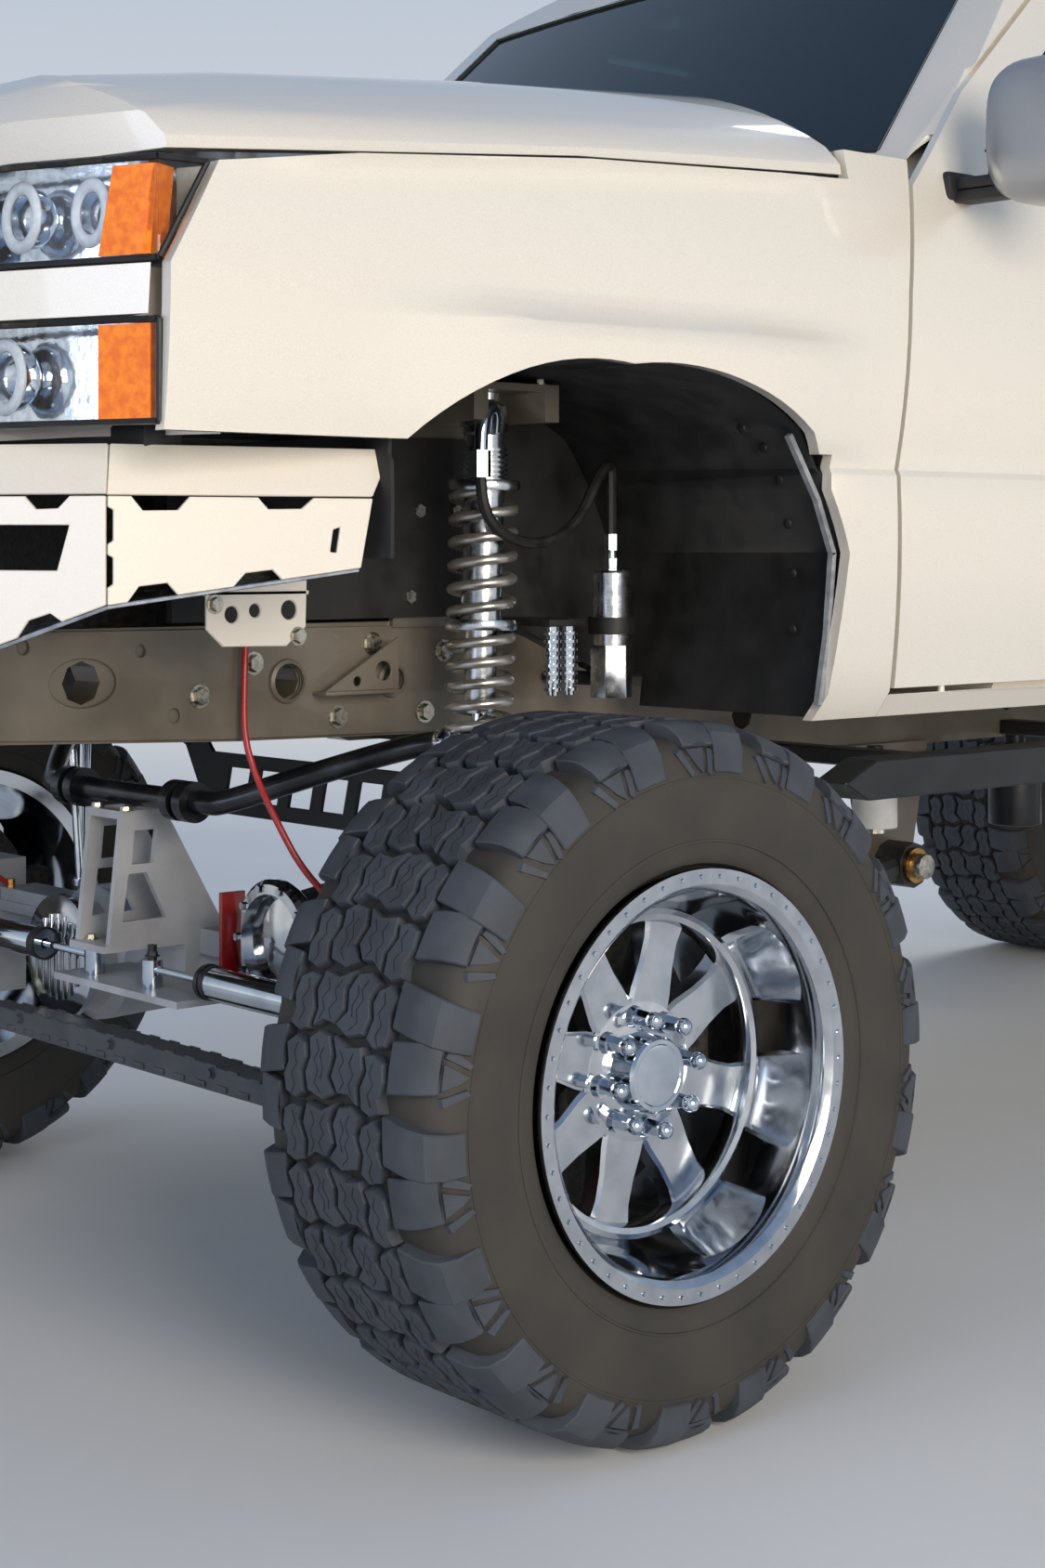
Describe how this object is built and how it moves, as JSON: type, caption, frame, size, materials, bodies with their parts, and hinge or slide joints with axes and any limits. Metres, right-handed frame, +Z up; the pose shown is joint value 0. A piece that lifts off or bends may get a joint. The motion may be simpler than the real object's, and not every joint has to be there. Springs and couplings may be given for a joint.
{
  "type": "lifted crew cab pickup truck",
  "caption": "Lifted crew cab pickup truck with opening doors, hood and tailgate, steered front wheels and a coilover front axle.",
  "frame": {"origin": "on the ground, under the middle of the truck's box", "axes": "+X to the front of the truck, +Y to its left side, +Z up"},
  "size_m": [6.026, 2.524, 2.5355],
  "materials": {
    "paint": "pearl champagne automotive paint, clear coat",
    "frame_paint": "satin bronze-grey chassis coating",
    "axle_paint": "light grey painted fabricated steel",
    "black_steel": "satin black powder coat",
    "black_plastic": "moulded black plastic",
    "mirror_plastic": "grey silver moulded shell",
    "glass": "dark tinted glass",
    "lamp": "clear lens over bright reflectors",
    "tail_lamp": "red lens",
    "wheel_metal": "polished forged aluminium",
    "chrome": "chrome plate",
    "spring_steel": "satin silver spring coating",
    "rubber": "black rubber",
    "tyre": "tread rubber with dust on the sidewall",
    "iron": "cast iron and steel",
    "seat_fabric": "dark grey woven seat cloth",
    "dash_plastic": "grained dark plastic"
  },
  "bodies": {
    "root": {"cab_shell": "paint", "cowl": "black_plastic", "cab_glass": "glass", "front_fenders": "paint", "wheel_liners": "black_plastic", "headlamps": "lamp", "nose_panel": "paint", "grille": "black_plastic", "front_bumper": "paint", "frame": "frame_paint", "body_mounts": "rubber", "bed": "paint", "tail_lamps": "tail_lamp", "bed_mounts": "rubber", "rear_bumper": "black_steel", "hitch": "black_steel", "engine": "iron", "driveline": "iron", "front_axle": "axle_paint", "coilovers": "chrome", "springs": "spring_steel", "reservoirs": "chrome", "front_links": "black_steel", "sway_bar": "black_steel", "rear_axle": "black_steel", "rear_springs": "frame_paint", "sliders": "black_steel", "seats": "seat_fabric", "dashboard": "dash_plastic"},
    "hood": {"hood": "paint"},
    "tailgate": {"tailgate": "paint"},
    "front_door_left": {"door_front_left": "paint", "glass_front_left": "glass", "mirror_left": "mirror_plastic"},
    "rear_door_left": {"door_rear_left": "paint", "glass_rear_left": "glass"},
    "steer_left": {"knuckle_left": "iron"},
    "damper_rod_left": {"stabiliser_rod_left": "chrome"},
    "wheel_front_left": {"tyre_front_left": "tyre", "rim_front_left": "wheel_metal"},
    "wheel_rear_left": {"tyre_rear_left": "tyre", "rim_rear_left": "wheel_metal"},
    "front_door_right": {"door_front_right": "paint", "glass_front_right": "glass", "mirror_right": "mirror_plastic"},
    "rear_door_right": {"door_rear_right": "paint", "glass_rear_right": "glass"},
    "steer_right": {"knuckle_right": "iron"},
    "damper_rod_right": {"stabiliser_rod_right": "chrome"},
    "wheel_front_right": {"tyre_front_right": "tyre", "rim_front_right": "wheel_metal"},
    "wheel_rear_right": {"tyre_rear_right": "tyre", "rim_rear_right": "wheel_metal"},
    "tie_rod": {"tie_rod": "frame_paint", "stabilisers": "chrome"}
  },
  "joints": [
    {"name": "hood_open", "type": "hinge", "parent": "root", "child": "hood", "pos_m": [1.443, 0, 1.89], "axis": [0, -1, 0], "range_deg": [0, 50]},
    {"name": "tailgate_open", "type": "hinge", "parent": "root", "child": "tailgate", "pos_m": [-2.886, 0, 1.362], "axis": [0, -1, 0], "range_deg": [0, 90]},
    {"name": "front_door_left_open", "type": "hinge", "parent": "root", "child": "front_door_left", "pos_m": [1.203, 0.976, 1.4], "axis": [0, 0, -1], "range_deg": [0, 65]},
    {"name": "rear_door_left_open", "type": "hinge", "parent": "root", "child": "rear_door_left", "pos_m": [0.163, 0.976, 1.4], "axis": [0, 0, -1], "range_deg": [0, 65]},
    {"name": "steer_left_turn", "type": "hinge", "parent": "root", "child": "steer_left", "pos_m": [2.003, 0.77, 0.5], "axis": [0, 0, 1], "range_deg": [-25, 25]},
    {"name": "wheel_front_left_spin", "type": "hinge", "parent": "steer_left", "child": "wheel_front_left", "pos_m": [2.003, 1.01, 0.5], "axis": [0, 1, 0], "continuous": true},
    {"name": "wheel_rear_left_spin", "type": "hinge", "parent": "root", "child": "wheel_rear_left", "pos_m": [-1.883, 1.01, 0.5], "axis": [0, 1, 0], "continuous": true},
    {"name": "damper_rod_left_slide", "type": "slide", "parent": "tie_rod", "child": "damper_rod_left", "axis": [0, 1, 0], "range_m": [-0.0725, 0.0725]},
    {"name": "front_door_right_open", "type": "hinge", "parent": "root", "child": "front_door_right", "pos_m": [1.203, -0.976, 1.4], "axis": [0, 0, 1], "range_deg": [0, 65]},
    {"name": "rear_door_right_open", "type": "hinge", "parent": "root", "child": "rear_door_right", "pos_m": [0.163, -0.976, 1.4], "axis": [0, 0, 1], "range_deg": [0, 65]},
    {"name": "steer_right_turn", "type": "hinge", "parent": "root", "child": "steer_right", "pos_m": [2.003, -0.77, 0.5], "axis": [0, 0, 1], "range_deg": [-25, 25]},
    {"name": "wheel_front_right_spin", "type": "hinge", "parent": "steer_right", "child": "wheel_front_right", "pos_m": [2.003, -1.01, 0.5], "axis": [0, 1, 0], "continuous": true},
    {"name": "wheel_rear_right_spin", "type": "hinge", "parent": "root", "child": "wheel_rear_right", "pos_m": [-1.883, -1.01, 0.5], "axis": [0, 1, 0], "continuous": true},
    {"name": "damper_rod_right_slide", "type": "slide", "parent": "tie_rod", "child": "damper_rod_right", "axis": [0, 1, 0], "range_m": [-0.0725, 0.0725]},
    {"name": "tie_rod_turn", "type": "hinge", "parent": "steer_left", "child": "tie_rod", "pos_m": [2.173, 0.77, 0.391], "axis": [0, 0, 1], "range_deg": [-25, 25]}
  ],
  "couplings": [
    {"joint": "steer_right_turn", "follows": "steer_left_turn", "ratio": 1},
    {"joint": "tie_rod_turn", "follows": "steer_left_turn", "ratio": -1},
    {"joint": "damper_rod_left_slide", "follows": "steer_left_turn", "m_per_rad": -0.1647},
    {"joint": "damper_rod_right_slide", "follows": "steer_left_turn", "m_per_rad": -0.1647}
  ]
}
